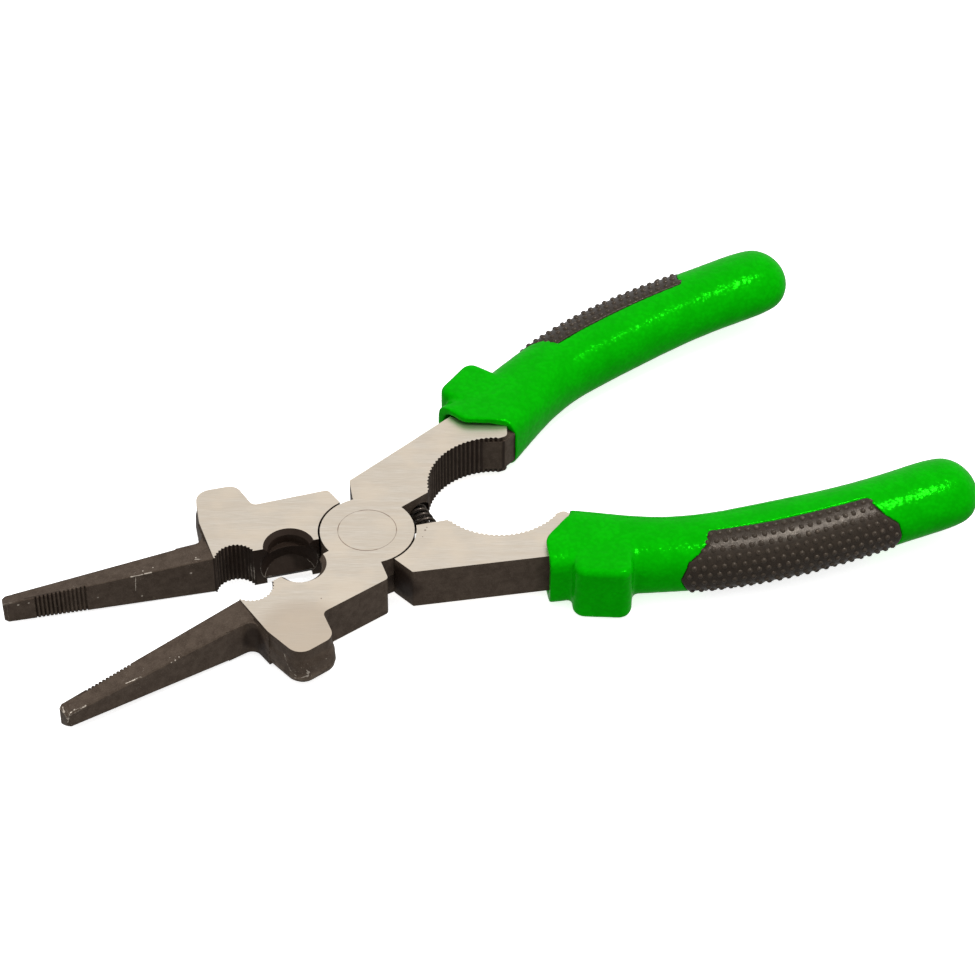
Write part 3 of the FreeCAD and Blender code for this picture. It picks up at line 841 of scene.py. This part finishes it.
# ---------------------------------------------------------------- floor, light, camera

BALANCE_X = 30 * MM
FLOOR_GAP = 0.02 * MM
SWEEP_RADIUS, SWEEP_BEND, SWEEP_HEIGHT = 3.0, 1.0, 4.0

# The light from the sky, from straight below to straight above.
SKY = [(0.0, 0.34), (0.5, 0.60), (1.0, 1.0)]

LIGHT_TARGET = Vector((0.03, 0.0, 0.005))
KEY_DIRECTION = Vector((0.38, -0.13, 0.90))
KEY_DISTANCE, KEY_SIZE, KEY_POWER = 0.9, 0.13, 4.0

CAMERA_AZIMUTH = math.radians(-26.95)
CAMERA_ELEVATION = math.radians(42.98)
CAMERA_ROLL = 0.00364
CAMERA_DISTANCE = 0.6719
CAMERA_TARGET = Vector((0.0293, 0.0004, 0.0103))
SENSOR_WIDTH, LENS = 36.0, 113.24455


def resting_plane():
    """(height at x 0, slope along x) of the table top that the tool lies on."""
    points = np.concatenate([points_of(obj.data)[:, [0, 2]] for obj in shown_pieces()])
    best = None
    for slope in np.linspace(-0.05, 0.05, 1001):
        height = (points[:, 1] - slope * points[:, 0]).min()
        reach = height + slope * BALANCE_X
        if best is None or reach > best[0]:
            best = (reach, height, slope)
    return best[1], best[2]


def sweep():
    """A pale table top that curves up into a wall far from the tool."""
    height, slope = resting_plane()
    profile = [(0.02, 0.0), (0.5, 0.0), (SWEEP_RADIUS, 0.0)]
    for t in np.linspace(0, math.pi / 2, 9)[1:]:
        profile.append((SWEEP_RADIUS + SWEEP_BEND * math.sin(t), SWEEP_BEND * (1 - math.cos(t))))
    profile.append((SWEEP_RADIUS + SWEEP_BEND, SWEEP_HEIGHT))
    around = np.linspace(0, 2 * math.pi, 64, endpoint=False)
    bm = bmesh.new()
    rings = []
    for r, z in profile:
        rings.append([
            bm.verts.new((r * math.cos(t), r * math.sin(t), height - FLOOR_GAP + z + slope * r * math.cos(t)))
            for t in around
        ])
    for a, b in zip(rings, rings[1:]):
        for i in range(len(around)):
            j = (i + 1) % len(around)
            bm.faces.new((a[i], b[i], b[j], a[j])).smooth = True
    bm.faces.new(rings[0])
    obj = linked("floor", bpy.data.meshes.new("floor"))
    own_mesh(obj, bm)

    s = Shader("white_sweep")
    tone = s.noise(s.mm, 0.01, detail=2.0)
    paint(obj, s.set(
        Base_Color=s.mix(s.ramp(tone, 0.2, 0.8), (0.90, 0.90, 0.90), (0.93, 0.93, 0.93)),
        Roughness=0.9,
        Specular_IOR_Level=0.0,
        Emission_Color=(1.0, 1.0, 1.0),
        Emission_Strength=0.72,
    ))
    obj.visible_diffuse = False
    obj.visible_glossy = False
    obj.visible_transmission = False
    obj.visible_shadow = False


def sky():
    """Even studio light, strongest from above and weak from below."""
    world = bpy.data.worlds.new("studio")
    world.use_nodes = True
    tree = world.node_tree
    place = tree.nodes.new("ShaderNodeTexCoord")
    split = tree.nodes.new("ShaderNodeSeparateXYZ")
    tree.links.new(place.outputs["Generated"], split.inputs[0])
    lift = tree.nodes.new("ShaderNodeMath")
    lift.operation = "MULTIPLY_ADD"
    lift.inputs[1].default_value = lift.inputs[2].default_value = 0.5
    tree.links.new(split.outputs[2], lift.inputs[0])
    tone = tree.nodes.new("ShaderNodeValToRGB")
    while len(tone.color_ramp.elements) < len(SKY):
        tone.color_ramp.elements.new(0.5)
    for stop, (at, level) in zip(tone.color_ramp.elements, SKY):
        stop.position = at
        stop.color = (level, level, level, 1.0)
    tree.links.new(lift.outputs[0], tone.inputs[0])
    tree.links.new(tone.outputs[0], tree.nodes["Background"].inputs["Color"])
    bpy.context.scene.world = world


def key_light():
    """A square softbox that faces the tool."""
    data = bpy.data.lights.new("key", "AREA")
    data.shape = "RECTANGLE"
    data.size = data.size_y = KEY_SIZE
    data.energy = KEY_POWER
    light = linked("key", data)
    light.location = LIGHT_TARGET + KEY_DIRECTION.normalized() * KEY_DISTANCE
    light.rotation_mode = "QUATERNION"
    light.rotation_quaternion = (light.location - LIGHT_TARGET).to_track_quat("Z", "Y")


def camera():
    """The camera, behind its target at CAMERA_DISTANCE and turned a little about its axis."""
    a, e = CAMERA_AZIMUTH, CAMERA_ELEVATION
    backward = Vector((math.sin(a) * math.cos(e), -math.cos(a) * math.cos(e), math.sin(e)))
    level = Vector((math.cos(a), math.sin(a), 0))
    upright = backward.cross(level)
    c, k = math.cos(CAMERA_ROLL), math.sin(CAMERA_ROLL)
    right, up = c * level + k * upright, c * upright - k * level
    data = bpy.data.cameras.new("camera")
    data.sensor_width = SENSOR_WIDTH
    data.lens = LENS
    data.clip_start, data.clip_end = 0.05, 20.0
    obj = linked("camera", data)
    turn = Matrix((right, up, backward)).transposed().to_4x4()
    obj.matrix_world = Matrix.Translation(CAMERA_TARGET + CAMERA_DISTANCE * backward) @ turn
    bpy.context.scene.camera = obj


sweep()
bpy.context.scene.view_settings.view_transform = "Standard"
sky()
key_light()
camera()
